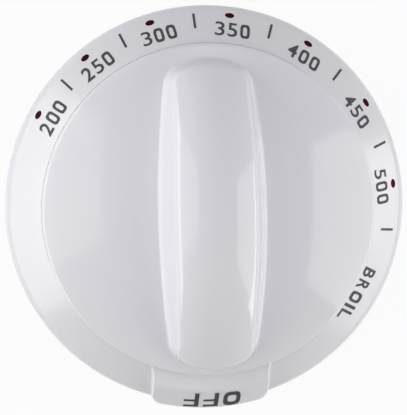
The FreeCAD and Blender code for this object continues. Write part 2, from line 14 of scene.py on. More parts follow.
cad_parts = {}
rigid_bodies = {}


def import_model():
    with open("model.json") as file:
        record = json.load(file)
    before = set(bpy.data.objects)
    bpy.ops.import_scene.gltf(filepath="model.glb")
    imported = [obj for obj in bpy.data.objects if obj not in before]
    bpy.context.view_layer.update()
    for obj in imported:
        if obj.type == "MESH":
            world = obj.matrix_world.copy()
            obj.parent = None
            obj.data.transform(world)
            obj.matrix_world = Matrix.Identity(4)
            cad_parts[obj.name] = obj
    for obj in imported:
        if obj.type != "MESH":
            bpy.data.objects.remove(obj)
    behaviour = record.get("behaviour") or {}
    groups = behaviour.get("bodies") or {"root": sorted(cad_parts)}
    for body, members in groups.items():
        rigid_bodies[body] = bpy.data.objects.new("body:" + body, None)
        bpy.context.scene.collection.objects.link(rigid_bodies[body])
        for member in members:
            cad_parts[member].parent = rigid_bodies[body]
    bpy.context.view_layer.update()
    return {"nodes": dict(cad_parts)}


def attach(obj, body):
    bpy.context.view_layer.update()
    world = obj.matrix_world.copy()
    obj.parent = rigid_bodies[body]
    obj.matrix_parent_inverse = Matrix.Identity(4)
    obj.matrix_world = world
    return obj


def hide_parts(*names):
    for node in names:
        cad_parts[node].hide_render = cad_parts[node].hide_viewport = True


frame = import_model()

MM = 0.001
LOG = logging.getLogger("oven_knob")

# Small distances for modelling, in millimetres, and how often a meeting point is refined.
WELD = 0.001
SEAT_TOLERANCE = 0.005
SLOPE_REACH = 0.05
MEET_ROUNDS = 12


def linear(hex_colour: str) -> tuple[float, float, float, float]:
    """Turns an sRGB hex colour into linear RGBA.

    Args:
        hex_colour: six hex digits after a hash sign.

    Returns:
        Red, green, blue and an alpha of one.
    """
    levels = [int(hex_colour[start:start + 2], 16) / 255 for start in (1, 3, 5)]
    red, green, blue = (
        level / 12.92 if level <= 0.04045 else ((level + 0.055) / 1.055) ** 2.4 for level in levels
    )
    return red, green, blue, 1.0


def add_node(tree: bpy.types.NodeTree, kind: str, settings: dict | None = None,
             links: dict | None = None) -> bpy.types.Node:
    """Adds a node with its settings and its incoming links.

    Args:
        tree: node tree that takes the node.
        kind: node type.
        settings: values of the node's properties, or of its input sockets by name or number.
        links: output sockets that feed the node's inputs, by name or number.

    Returns:
        The new node.
    """
    node = tree.nodes.new(kind)
    for name, value in (settings or {}).items():
        if isinstance(name, str) and hasattr(node, name):
            setattr(node, name, value)
        else:
            node.inputs[name].default_value = value
    for name, source in (links or {}).items():
        tree.links.new(source, node.inputs[name])
    return node


def new_material(name: str) -> tuple[bpy.types.Material, bpy.types.NodeTree]:
    """Makes an empty node material.

    Args:
        name: name of the material.

    Returns:
        The material and its tree.
    """
    material = bpy.data.materials.new(name)
    material.use_nodes = True
    material.node_tree.nodes.clear()
    return material, material.node_tree


def deselect_all() -> None:
    """Leaves nothing selected, so that an operator touches only what is picked next."""
    for item in bpy.context.view_layer.objects:
        item.select_set(False)


def pick(*pieces: bpy.types.Object) -> None:
    """Selects these pieces alone and makes the first of them active.

    Args:
        pieces: objects to select.
    """
    deselect_all()
    for piece in pieces:
        piece.select_set(True)
    bpy.context.view_layer.objects.active = pieces[0]


def dress(piece: bpy.types.Object, material: bpy.types.Material) -> None:
    """Gives every slot of a piece the same material.

    Args:
        piece: mesh object, which gets a slot if it has none.
        material: its new material.
    """
    if not piece.material_slots:
        piece.data.materials.append(material)
    for slot in piece.material_slots:
        slot.material = material


@dataclass(frozen=True)
class MouldedPlastic:
    """Glossy white thermoplastic from a polished mould.

    The eye sees a clean, slightly soft mirror over an opaque white: reflections have a narrow blur,
    the colour drifts a little with the flow of the melt, and long reflections waver by the shrinkage.
    """

    name: str
    colour: str
    drift_colour: str
    ior: float = 1.52
    roughness: float = 0.07
    haze: float = 0.05
    haze_mm: float = 6.0
    drift_mm: float = 22.0
    peel_mm: float = 2.4
    peel_depth_mm: float = 0.02
    edge_mm: float = 0.22

    def material(self) -> bpy.types.Material:
        """Builds the node material.

        Returns:
            The material, with its patterns in the piece's own coordinates.
        """
        material, tree = new_material(self.name)
        place = add_node(tree, "ShaderNodeTexCoord").outputs["Object"]
        drift = add_node(tree, "ShaderNodeTexNoise", {
            "Scale": 1 / (self.drift_mm * MM), "Detail": 3.0, "Roughness": 0.45,
        }, {"Vector": place})
        colour = add_node(tree, "ShaderNodeMix", {
            "data_type": "RGBA", 6: linear(self.colour), 7: linear(self.drift_colour),
        }, {"Factor": drift.outputs["Fac"]})
        haze = add_node(tree, "ShaderNodeTexNoise", {
            "Scale": 1 / (self.haze_mm * MM), "Detail": 5.0, "Roughness": 0.6,
        }, {"Vector": place})
        gloss = add_node(tree, "ShaderNodeMapRange", {
            "From Min": 0.3, "From Max": 0.75,
            "To Min": self.roughness, "To Max": self.roughness + self.haze,
        }, {"Value": haze.outputs["Fac"]})
        peel = add_node(tree, "ShaderNodeTexNoise", {
            "Scale": 1 / (self.peel_mm * MM), "Detail": 1.0,
        }, {"Vector": place})
        edge = add_node(tree, "ShaderNodeBevel", {"samples": 6, "Radius": self.edge_mm * MM})
        bump = add_node(tree, "ShaderNodeBump", {
            "Strength": 0.06, "Distance": self.peel_depth_mm * MM,
        }, {"Height": peel.outputs["Fac"], "Normal": edge.outputs["Normal"]})
        surface = add_node(tree, "ShaderNodeBsdfPrincipled", {"IOR": self.ior}, {
            "Base Color": colour.outputs[2], "Roughness": gloss.outputs["Result"],
            "Normal": bump.outputs["Normal"],
        })
        add_node(tree, "ShaderNodeOutputMaterial", None, {"Surface": surface.outputs["BSDF"]})
        return material


@dataclass(frozen=True)
class PrintInk:
    """Pad-printed two-part ink, a thin satin film.

    The eye sees a flat dark mark with a faint mottle where the pad left less ink.
    """

    name: str
    colour: str
    thin_colour: str
    ior: float = 1.5
    roughness: float = 0.5
    roughness_span: tuple[float, float] = (-0.06, 0.1)
    shine: float = 0.2
    mottle_mm: float = 0.5

    def material(self) -> bpy.types.Material:
        """Builds the node material.

        Returns:
            The material, with its patterns in the piece's own coordinates.
        """
        material, tree = new_material(self.name)
        place = add_node(tree, "ShaderNodeTexCoord").outputs["Object"]
        mottle = add_node(tree, "ShaderNodeTexNoise", {
            "Scale": 1 / (self.mottle_mm * MM), "Detail": 4.0, "Roughness": 0.65,
        }, {"Vector": place})
        cover = add_node(tree, "ShaderNodeMapRange", {
            "From Min": 0.45, "From Max": 0.8,
        }, {"Value": mottle.outputs["Fac"]})
        colour = add_node(tree, "ShaderNodeMix", {
            "data_type": "RGBA", 6: linear(self.colour), 7: linear(self.thin_colour),
        }, {"Factor": cover.outputs["Result"]})
        gloss = add_node(tree, "ShaderNodeMapRange", {
            "To Min": self.roughness + self.roughness_span[0],
            "To Max": self.roughness + self.roughness_span[1],
        }, {"Value": mottle.outputs["Fac"]})
        surface = add_node(tree, "ShaderNodeBsdfPrincipled", {
            "IOR": self.ior, "Specular IOR Level": self.shine,
        }, {"Base Color": colour.outputs[2], "Roughness": gloss.outputs["Result"]})
        add_node(tree, "ShaderNodeOutputMaterial", None, {"Surface": surface.outputs["BSDF"]})
        return material


@dataclass(frozen=True)
class PlatedSteel:
    """Pressed, headed or rolled steel, bright from its zinc plating or from the rolls.

    The eye sees a cool grey metal with a cloudy bloom of the passivation and fine lines of the rolling.
    Those lines are finer on the real sheet, and are drawn as coarse as they need to show.
    """

    name: str
    colour: str
    bloom_colour: str
    roughness: float = 0.3
    roughness_span: tuple[float, float] = (-0.08, 0.14)
    bloom_mm: float = 5.0
    grain_mm: float = 0.35
    grain_depth_mm: float = 0.01
    grain_stretch: tuple[float, float, float] = (1.0, 0.04, 1.0)
    edge_mm: float = 0.12

    def material(self) -> bpy.types.Material:
        """Builds the node material.

        Returns:
            The material, with its patterns in the piece's own coordinates.
        """
        material, tree = new_material(self.name)
        place = add_node(tree, "ShaderNodeTexCoord").outputs["Object"]
        bloom = add_node(tree, "ShaderNodeTexNoise", {
            "Scale": 1 / (self.bloom_mm * MM), "Detail": 5.0, "Roughness": 0.62, "Distortion": 0.6,
        }, {"Vector": place})
        colour = add_node(tree, "ShaderNodeMix", {
            "data_type": "RGBA", 6: linear(self.colour), 7: linear(self.bloom_colour),
        }, {"Factor": bloom.outputs["Fac"]})
        along = add_node(tree, "ShaderNodeMapping", {"Scale": self.grain_stretch}, {"Vector": place})
        grain = add_node(tree, "ShaderNodeTexNoise", {
            "Scale": 1 / (self.grain_mm * MM), "Detail": 2.0,
        }, {"Vector": along.outputs["Vector"]})
        gloss = add_node(tree, "ShaderNodeMapRange", {
            "From Min": 0.3, "From Max": 0.7,
            "To Min": self.roughness + self.roughness_span[0],
            "To Max": self.roughness + self.roughness_span[1],
        }, {"Value": bloom.outputs["Fac"]})
        edge = add_node(tree, "ShaderNodeBevel", {"samples": 6, "Radius": self.edge_mm * MM})
        bump = add_node(tree, "ShaderNodeBump", {
            "Strength": 0.25, "Distance": self.grain_depth_mm * MM,
        }, {"Height": grain.outputs["Fac"], "Normal": edge.outputs["Normal"]})
        surface = add_node(tree, "ShaderNodeBsdfPrincipled", {"Metallic": 1.0}, {
            "Base Color": colour.outputs[2], "Roughness": gloss.outputs["Result"],
            "Normal": bump.outputs["Normal"],
        })
        add_node(tree, "ShaderNodeOutputMaterial", None, {"Surface": surface.outputs["BSDF"]})
        return material


FACE_PLASTIC = MouldedPlastic("moulded_abs_face_white", "#E0DFE3", "#DCDBDF")
SKIRT_PLASTIC = MouldedPlastic("moulded_abs_skirt_white", "#DDDCDE", "#D9D8DB", roughness=0.2,
                               edge_mm=0.05)
GREY_INK = PrintInk("pad_print_ink_grey", "#464648", "#545456")
DARK_INK = PrintInk("pad_print_ink_dark_grey", "#2C2C2E", "#3A3A3C")
RED_INK = PrintInk("pad_print_ink_red", "#330512", "#450D1C", shine=0.05)
ZINC_PLATE = PlatedSteel("zinc_plated_sheet_steel", "#B9BEC4", "#A6ADB8")
SCREW_STEEL = PlatedSteel("zinc_plated_screw_steel", "#A9ABAE", "#8F9298", roughness=0.26, bloom_mm=1.6)
SPRING_STEEL = PlatedSteel("cold_rolled_spring_steel", "#7E8086", "#6A6D74", roughness=0.24, bloom_mm=2.5,
                           grain_mm=0.12, grain_stretch=(1.0, 1.0, 0.05))


@dataclass(frozen=True)
class Column:
    """One upright slice through the finger bar's wall.

    Attributes:
        centre: centre of the arc of the plan that the slice cuts, in millimetres.
        radius: radius of that arc.
        normal: level direction out of the wall.
    """

    centre: Vector
    radius: float
    normal: Vector

    def at(self, out: float) -> Vector:
        """Plan point at a distance out from the wall's plan line."""
        return self.centre + self.normal * (self.radius + out)


def round_corner(corner: Vector, first: Vector, second: Vector, radius: float, steps: int) -> list[Vector]:
    """Points of the arc that rounds a corner between two straight lines.

    Args:
        corner: where the lines meet.
        first: unit direction along the first line, away from the corner.
        second: unit direction along the second line, away from the corner.
        radius: radius of the arc.
        steps: how many chords the arc has.

    Returns:
        Points from the first line to the second.
    """
    opening = first.angle(second)
    middle = corner + (first + second).normalized() * (radius / math.sin(opening / 2))
    spoke = corner + first * (radius / math.tan(opening / 2)) - middle
    turn = math.pi - opening
    if first.x * second.y - first.y * second.x > 0:
        turn = -turn
    return [middle + Matrix.Rotation(turn * step / steps, 2) @ spoke for step in range(steps + 1)]


@dataclass
class GripMoulding:
    """Face disc and finger bar in one moulding, with every outer edge rounded; millimetres and degrees.

    The steps say how finely each stretch of the skin is divided.
    """

    node: str = "grip_knob"
    face_radius: float = 28.8
    rim_radius: float = 28.945
    seat_level: float = 5.0
    seat_rise: float = 0.6
    edge_level: float = 8.7
    dome_radius: float = 75.0
    far_length: float = 26.5
    near_length: float = 27.0
    half_width: float = 10.2
    side_bow: float = 2.3
    end_bulge: float = 4.2
    corner_radius: float = 4.2
    side_draft: float = 13.5
    far_draft: float = 6.5
    near_draft: float = 0.5
    top_level: float = 24.3
    arch_radius: float = 40.0
    crown_radius: float = 12.5
    rim_round: float = 0.8
    foot_round: float = 0.9
    brow_round: float = 2.2
    spine_half: float = 20.0
    smooth_angle: float = 32.0
    side_steps: int = 16
    corner_steps: int = 9
    end_steps: int = 11
    rim_steps: int = 5
    disc_steps: int = 8
    foot_steps: int = 7
    wall_steps: int = 6
    brow_steps: int = 8
    top_steps: int = 12

    def quarter(self, length: float) -> list[Column]:
        """Slices of one quarter of the bar, from the middle of the right side to the tip at +Y.

        Args:
            length: distance from the axis to the tip, at the level of the disc's edge.

        Returns:
            Slices in order, the last of them at the tip.
        """
        side_y = length - self.end_bulge
        side_radius = (side_y ** 2 + self.side_bow ** 2) / (2 * self.side_bow)
        side_centre = Vector((self.half_width - side_radius, 0))
        side_angle = math.asin(side_y / side_radius)
        side_end = Vector((math.cos(side_angle), math.sin(side_angle)))
        corner_centre = side_centre + side_end * (side_radius - self.corner_radius)
        past = length - corner_centre.y
        end_radius = (corner_centre.x ** 2 + past ** 2 - self.corner_radius ** 2) / (
            2 * (past - self.corner_radius))
        end_centre = Vector((0, length - end_radius))
        end_angle = math.atan2(corner_centre.y - end_centre.y, corner_centre.x)
        arcs = (
            (side_centre, side_radius, 0.0, side_angle, self.side_steps),
            (corner_centre, self.corner_radius, side_angle, end_angle, self.corner_steps),
            (end_centre, end_radius, end_angle, math.pi / 2, self.end_steps),
        )
        slices = []
        for centre, radius, start, finish, steps in arcs:
            for step in range(steps):
                angle = start + (finish - start) * step / steps
                slices.append(Column(centre, radius, Vector((math.cos(angle), math.sin(angle)))))
        return slices + [Column(end_centre, end_radius, Vector((0, 1)))]

    def columns(self) -> list[Column]:
        """Slices all round the bar.

        Returns:
            Slices in order, from the middle of the right side towards +Y.
        """
        far = self.quarter(self.far_length)
        near = self.quarter(self.near_length)
        far_left = [self.mirrored(column, -1, 1) for column in reversed(far[:-1])]
        near_left = [self.mirrored(column, -1, -1) for column in near[1:]]
        near_right = [self.mirrored(column, 1, -1) for column in reversed(near[1:-1])]
        return far + far_left + near_left + near_right

    @staticmethod
    def mirrored(column: Column, across: int, along: int) -> Column:
        """The same slice on another quarter of the bar."""
        flip = Vector((across, along))
        return Column(column.centre * flip, column.radius, column.normal * flip)

    def dome(self, spot: Vector) -> float:
        """Height of the domed face.

        Args:
            spot: plan point.

        Returns:
            Level of the face over that point.
        """
        rise = self.dome_radius - math.sqrt(self.dome_radius ** 2 - self.face_radius ** 2)
        fall = self.dome_radius - math.sqrt(self.dome_radius ** 2 - spot.length_squared)
        return self.edge_level + rise - fall

    def top(self, spot: Vector) -> float:
        """Height of the bar's arched and crowned top over a plan point."""
        reach = self.arch_radius - self.crown_radius + math.sqrt(self.crown_radius ** 2 - spot.x ** 2)
        return self.top_level - self.arch_radius + math.sqrt(reach ** 2 - spot.y ** 2)

    def lean(self, column: Column) -> float:
        """Draft of the wall in radians, easy along the sides and nearly upright at the off end."""
        end_draft = self.far_draft if column.normal.y > 0 else self.near_draft
        return math.radians(self.side_draft + (end_draft - self.side_draft) * column.normal.y ** 2)

    def meet(self, column: Column, height: Callable[[Vector], float]) -> Vector:
        """Where a slice's drafted wall meets a surface, found by a few rounds of approach.

        Args:
            column: the slice.
            height: function that gives the surface's height over a plan point.

        Returns:
            Distance out from the plan line, and level.
        """
        out = 0.0
        for _ in range(MEET_ROUNDS):
            level = height(column.at(out))
            out = (self.edge_level - level) * math.tan(self.lean(column))
        return Vector((out, height(column.at(out))))

    @staticmethod
    def slope(column: Column, out: float, height: Callable[[Vector], float]) -> float:
        """Rise of a surface for each millimetre out along a slice."""
        rise = height(column.at(out + SLOPE_REACH)) - height(column.at(out - SLOPE_REACH))
        return rise / (2 * SLOPE_REACH)

    def profile(self, column: Column) -> list[Vector]:
        """One slice of the outer skin.

        Args:
            column: slice of the bar's wall that it runs over.

        Returns:
            Points from the disc's rim to the spine of the bar, in millimetres.
        """
        lean = self.lean(column)
        up = Vector((-math.sin(lean), math.cos(lean)))
        foot = self.meet(column, self.dome)
        outward = Vector((1, self.slope(column, foot.x, self.dome))).normalized()
        foot_arc = round_corner(foot, outward, up, self.foot_round, self.foot_steps)
        brow = self.meet(column, self.top)
        inward = Vector((-1, -self.slope(column, brow.x, self.top))).normalized()
        brow_arc = round_corner(brow, -up, inward, self.brow_round, self.brow_steps)

        start = column.at(0)
        run = start.dot(column.normal)
        reach = math.sqrt(run ** 2 - start.length_squared + self.rim_radius ** 2) - run
        bearing = (start + column.normal * reach).normalized()
        fall = math.tan(math.asin(self.rim_radius / self.dome_radius))
        rim = Vector((self.rim_radius, self.dome(bearing * self.rim_radius)))
        rim_arc = round_corner(rim, Vector((0, -1)), Vector((-1, fall)).normalized(), self.rim_round,
                               self.rim_steps)
        skin = [Vector((*(bearing * self.rim_radius), self.seat_level + self.seat_rise))]
        skin += [Vector((*(bearing * spot.x), spot.y)) for spot in rim_arc]

        disc_start = skin[-1].xy
        disc_finish = column.at(foot_arc[0].x)
        for step in range(1, self.disc_steps):
            spot = disc_start.lerp(disc_finish, step / self.disc_steps)
            skin.append(Vector((*spot, self.dome(spot))))
        wall = [foot_arc[-1].lerp(brow_arc[0], step / self.wall_steps) for step in range(1, self.wall_steps)]
        skin += [Vector((*column.at(spot.x), spot.y)) for spot in foot_arc + wall + brow_arc]

        edge = skin[-1].xy
        spine = Vector((0, self.spine_half * start.y / self.far_length))
        for step in range(1, self.top_steps + 1):
            spot = edge.lerp(spine, step / self.top_steps)
            skin.append(Vector((*spot, self.top(spot))))
        return skin

    def outer_skin(self) -> bpy.types.Object:
        """Raises the skin ring by ring from a circle by extruding its edge.

        Returns:
            The skin, still open at the disc's rim.
        """
        slices = [self.profile(column) for column in self.columns()]
        deselect_all()
        bpy.ops.mesh.primitive_circle_add(vertices=len(slices), radius=self.face_radius * MM)
        skin = bpy.context.active_object
        bpy.ops.object.mode_set(mode="EDIT")
        bpy.ops.mesh.select_all(action="SELECT")
        shape = bmesh.from_edit_mesh(skin.data)
        layer = shape.verts.layers.int.new("slice")
        for number, vertex in enumerate(shape.verts):
            vertex[layer] = number
            vertex.co = slices[number][0] * MM
        bmesh.update_edit_mesh(skin.data)
        for ring in range(1, len(slices[0])):
            bpy.ops.mesh.extrude_region()
            shape = bmesh.from_edit_mesh(skin.data)
            layer = shape.verts.layers.int["slice"]
            for vertex in shape.verts:
                if vertex.select:
                    vertex.co = slices[vertex[layer]][ring] * MM
            bmesh.update_edit_mesh(skin.data)
        bpy.ops.mesh.select_all(action="SELECT")
        bpy.ops.mesh.remove_doubles(threshold=2 * WELD * MM)
        bpy.ops.object.mode_set(mode="OBJECT")
        skin.data.attributes.remove(skin.data.attributes["slice"])
        return skin

    def rear_shell(self) -> bpy.types.Object:
        """Copies the CAD moulding and cuts away its front, down to the seat of the disc.

        Returns:
            The shell that is left, still open in front.
        """
        mesh = frame["nodes"][self.node].data.copy()
        shell = bpy.data.objects.new("rear_shell", mesh)
        bpy.context.collection.objects.link(shell)
        pick(shell)
        bpy.ops.mesh.customdata_custom_splitnormals_clear()
        bpy.ops.object.mode_set(mode="EDIT")
        bpy.ops.mesh.select_all(action="SELECT")
        bpy.ops.mesh.remove_doubles(threshold=WELD * MM)
        bpy.ops.mesh.select_all(action="DESELECT")
        shape = bmesh.from_edit_mesh(mesh)
        front = {max(shape.faces, key=lambda face: face.calc_center_median().z)}
        fresh = set(front)
        while fresh:
            beyond = {near for face in fresh for edge in face.edges if not self.on_seat(edge)
                      for near in edge.link_faces}
            fresh = beyond - front
            front |= fresh
        for face in front:
            face.select_set(True)
        bmesh.update_edit_mesh(mesh)
        bpy.ops.mesh.delete(type="FACE")
        bpy.ops.object.mode_set(mode="OBJECT")
        return shell

    def on_seat(self, edge: bmesh.types.BMEdge) -> bool:
        """Tells whether an edge lies on the circle where the disc's side meets its seat."""
        return all(
            abs(vertex.co.xy.length - self.face_radius * MM) < 4 * SEAT_TOLERANCE * MM
            and abs(vertex.co.z - self.seat_level * MM) < SEAT_TOLERANCE * MM
            for vertex in edge.verts
        )

    def build(self) -> bpy.types.Object:
        """Joins the new skin to the rear of the CAD moulding.

        Returns:
            One closed piece that stands for the node.
        """
        skin = self.outer_skin()
        pick(skin, self.rear_shell())
        bpy.ops.object.join()
        skin.name = skin.data.name = "grip_moulding"
        bpy.ops.object.mode_set(mode="EDIT")
        bpy.ops.mesh.select_mode(type="EDGE")
        bpy.ops.mesh.select_all(action="DESELECT")
        bpy.ops.mesh.select_non_manifold(use_wire=False, use_multi_face=False, use_non_contiguous=False,
                                         use_verts=False)
        bpy.ops.mesh.bridge_edge_loops()
        bpy.ops.mesh.select_all(action="SELECT")
        bpy.ops.mesh.normals_make_consistent(inside=False)
        bpy.ops.object.mode_set(mode="OBJECT")
        bpy.ops.object.shade_smooth_by_angle(angle=math.radians(self.smooth_angle))
        skin.data.materials.clear()
        dress(skin, FACE_PLASTIC.material())
        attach(skin, "grip")
        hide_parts(self.node)
        return skin


class PrintFace(Enum):
    """Faces of the skirt that carry print.

    Each is a cone, given by the radius and level of a point on it and by its fall in degrees.
    """

    DIAL = (28.95, 6.5, math.degrees(math.atan2(4.8, 6.05)))
    TAB = (32.42, 6.15, math.degrees(math.atan2(4.75, 3.58)))

    def wrap(self, piece: bpy.types.Object, bearing: float, reach: float) -> None:
        """Lays flat artwork on the cone without stretching it.

        Args:
            piece: mesh in the XY plane in metres, with the outward side towards +Y and its foot at zero.
            bearing: angle of the artwork's middle about the axis, in degrees from +X.
            reach: radius of the artwork's origin in millimetres.
        """
        radius, level, fall = self.value
        lean = math.radians(fall)
        slant = reach * MM / math.cos(lean)
        for vertex in piece.data.vertices:
            along = slant + vertex.co.y
            length = math.hypot(along, vertex.co.x)
            angle = math.radians(bearing) - math.atan2(vertex.co.x, along) / math.cos(lean)
            out = length * math.cos(lean) + vertex.co.z * math.sin(lean)
            height = level * MM - (length * math.cos(lean) - radius * MM) * math.tan(lean)
            vertex.co = (out * math.cos(angle), out * math.sin(angle), height + vertex.co.z * math.cos(lean))


@dataclass
class DialSkirt:
    """Skirt with its printed scale; millimetres, and degrees clockwise from the off mark.

    Attributes:
        numbers: each number with its angle and the angle of its dot.
        pad_shift: how far the print lies off the axis, along X and Y.
        letter_gap: gap between characters, as a share of a character's width.
        slim_letter: width of an I, and wide_letter of an O, as shares of another character's width.
        letter_weight: width of upright strokes, as a share of a character's width.
        stem_limit: most of a character's own width that an upright stroke takes.
        round_power: how square the round characters are; two leaves them round.
        font_stem: width of upright strokes in the type as it comes, as a share of its size.
        font_swell: most that a character with notches is swollen, so that its outline doesn't cross itself.
    """

    node: str = "dial_skirt"
    film: float = 0.03
    numbers: tuple[tuple[str, float, float], ...] = (
        ("200", 121.95, 120.35), ("250", 143.75, 142.3), ("300", 165.6, 164.15), ("350", 189.15, 188.05),
        ("400", 213.8, 213.25), ("450", 238.55, 238.4), ("500", 264.7, 264.65),
    )
    ticks: tuple[float, ...] = (132.75, 154.55, 177.3, 200.95, 225.9, 251.75, 278.8)
    pad_shift: tuple[float, float] = (-0.11, 0.41)
    letter_gap: float = 0.32
    slim_letter: float = 0.34
    wide_letter: float = 1.16
    letter_weight: float = 0.27
    letter_steps: int = 6
    stem_limit: float = 0.34
    round_power: float = 3.4
    font_stem: float = 0.09
    font_swell: float = 0.025
    round_letters: str = "0O"
    number_size: tuple[float, float] = (6.1, 2.9)
    number_reach: float = 30.83
    dot_reach: float = 33.15
    dot_size: tuple[float, float] = (1.6, 1.05)
    dot_sides: int = 32
    tick_reach: float = 32.13
    tick_size: tuple[float, float] = (0.42, 3.1)
    tick_corner: float = 0.06
    broil_bearing: float = 301.6
    broil_size: tuple[float, float] = (10.2, 3.05)
    broil_reach: float = 30.9
    off_bearing: float = -0.5
    off_size: tuple[float, float] = (10.0, 5.1)
    off_reach: float = 34.1

    @staticmethod
    def bearing(clockwise: float) -> float:
        """Turns degrees clockwise from the off mark into degrees from +X."""
        return 270.0 - clockwise

    def printed(self, clockwise: float, reach: float) -> tuple[float, float]:
        """Bearing from +X and radius of a mark, with the shift of the print.

        Args:
            clockwise: degrees clockwise from the off mark.
            reach: radius of the mark about the middle of the print.

        Returns:
            Bearing in degrees and radius about the axis.
        """
        bearing = self.bearing(clockwise)
        angle = math.radians(bearing)
        return bearing, reach + self.pad_shift[0] * math.cos(angle) + self.pad_shift[1] * math.sin(angle)

    def letter(self, character: str, left: float, width: float, height: float,
               weight: float) -> bpy.types.Object:
        """Sets one bold character as a thin film that fills its box.

        Args:
            character: the character.
            left: left side of the box.
            width: width of the box.
            height: height of the box, half of it above the origin.
            weight: width of the upright strokes.

        Returns:
            The character as a mesh.
        """
        deselect_all()
        bpy.ops.object.text_add()
        letter = bpy.context.active_object
        letter.data.body = character
        letter.data.size = 1.0
        letter.data.resolution_u = self.letter_steps
        letter.data.extrude = 0.1
        bpy.context.view_layer.update()
        stem = min(weight / width, self.stem_limit)
        swell = (stem * letter.dimensions.x - self.font_stem) / (2 * (1 - stem))
        if character not in self.round_letters:
            swell = min(swell, self.font_swell)
        letter.data.offset = max(0.0, swell)
        bpy.ops.object.convert(target="MESH")
        letter = bpy.context.active_object
        spots = [vertex.co.copy() for vertex in letter.data.vertices]
        low = Vector([min(spot[axis] for spot in spots) for axis in range(3)])
        high = Vector([max(spot[axis] for spot in spots) for axis in range(3)])
        for vertex in letter.data.vertices:
            share = [(vertex.co[axis] - low[axis]) / (high[axis] - low[axis]) for axis in range(3)]
            flat = Vector((share[0] - 0.5, share[1] - 0.5))
            if character in self.round_letters:
                flat = self.squared(flat)
            spot = Vector((left + (flat.x + 0.5) * width, flat.y * height, share[2] * self.film))
            vertex.co = spot * MM
        return letter

    def squared(self, spot: Vector) -> Vector:
        """Moves a point of a round character outwards, so that circles about the origin become squarer."""
        power = self.round_power
        return spot * (spot.length / (abs(spot.x) ** power + abs(spot.y) ** power) ** (1 / power))

    def word(self, body: str, size: tuple[float, float]) -> bpy.types.Object:
        """Sets a word in evenly spaced condensed type, centred on the origin.

        Args:
            body: characters of the word.
            size: width and height of the printed word.

        Returns:
            The word as a mesh.
        """
        shares = [{"I": self.slim_letter, "O": self.wide_letter}.get(character, 1.0) for character in body]
        unit = size[0] / (sum(shares) + self.letter_gap * (len(body) - 1))
        left = -size[0] / 2
        letters = []
        for character, share in zip(body, shares):
            letters.append(self.letter(character, left, share * unit, size[1], self.letter_weight * unit))
            left += (share + self.letter_gap) * unit
        pick(*letters)
        bpy.ops.object.join()
        return letters[0]

    def film_of(self, outline: bpy.types.Object) -> bpy.types.Object:
        """Extrudes a flat outline to the thickness of the film.

        Args:
            outline: flat mesh in the XY plane.

        Returns:
            The same object as a closed film.
        """
        pick(outline)
        bpy.ops.object.mode_set(mode="EDIT")
        bpy.ops.mesh.select_all(action="SELECT")
        bpy.ops.mesh.extrude_region_move(TRANSFORM_OT_translate={"value": (0, 0, self.film * MM)})
        bpy.ops.mesh.select_all(action="SELECT")
        bpy.ops.mesh.normals_make_consistent(inside=False)
        bpy.ops.object.mode_set(mode="OBJECT")
        return outline

    def dot(self) -> bpy.types.Object:
        """Models one oval dot.

        Returns:
            The dot as a film.
        """
        deselect_all()
        bpy.ops.mesh.primitive_circle_add(vertices=self.dot_sides, radius=0.5, fill_type="NGON")
        dot = bpy.context.active_object
        for vertex in dot.data.vertices:
            vertex.co.x *= self.dot_size[0] * MM
            vertex.co.y *= self.dot_size[1] * MM
        return self.film_of(dot)

    def tick(self) -> bpy.types.Object:
        """Models one tick with softened corners.

        Returns:
            The tick as a film.
        """
        deselect_all()
        bpy.ops.mesh.primitive_plane_add(size=1.0)
        tick = bpy.context.active_object
        for vertex in tick.data.vertices:
            vertex.co.x *= self.tick_size[0] * MM
            vertex.co.y *= self.tick_size[1] * MM
        bpy.ops.object.mode_set(mode="EDIT")
        bpy.ops.mesh.select_all(action="SELECT")
        bpy.ops.mesh.bevel(offset=self.tick_corner * MM, segments=2, affect="VERTICES")
        bpy.ops.object.mode_set(mode="OBJECT")
        return self.film_of(tick)

    def gather(self, name: str, pieces: list[bpy.types.Object], ink: bpy.types.Material) -> bpy.types.Object:
        """Joins wrapped artwork of one ink into a piece that rides on the skirt.

        Args:
            name: name of the piece.
            pieces: films that it is made of.
            ink: material of the print.

        Returns:
            The joined piece.
        """
        pick(*pieces)
        bpy.ops.object.join()
        piece = bpy.context.active_object
        piece.name = piece.data.name = name
        piece.data.materials.clear()
        dress(piece, ink)
        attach(piece, "skirt")
        return piece

    def build(self) -> list[bpy.types.Object]:
        """Dresses the CAD skirt and prints its scale.

        Returns:
            The printed pieces.
        """
        dress(frame["nodes"][self.node], SKIRT_PLASTIC.material())
        grey = GREY_INK.material()
        red = RED_INK.material()
        numbers, dots, ticks = [], [], []
        for body, number_angle, dot_angle in self.numbers:
            number = self.word(body, self.number_size)
            PrintFace.DIAL.wrap(number, *self.printed(number_angle, self.number_reach))
            numbers.append(number)
            dot = self.dot()
            PrintFace.DIAL.wrap(dot, *self.printed(dot_angle, self.dot_reach))
            dots.append(dot)
        for tick_angle in self.ticks:
            tick = self.tick()
            PrintFace.DIAL.wrap(tick, *self.printed(tick_angle, self.tick_reach))
            ticks.append(tick)
        broil = self.word("BROIL", self.broil_size)
        PrintFace.DIAL.wrap(broil, *self.printed(self.broil_bearing, self.broil_reach))
        off = self.word("OFF", self.off_size)
        PrintFace.TAB.wrap(off, self.bearing(self.off_bearing), self.off_reach)
        return [
            self.gather("scale_numbers", numbers, grey),
            self.gather("scale_dots", dots, red),
            self.gather("scale_ticks", ticks, grey),
            self.gather("broil_word", [broil], grey),
            self.gather("off_word", [off], DARK_INK.material()),
        ]


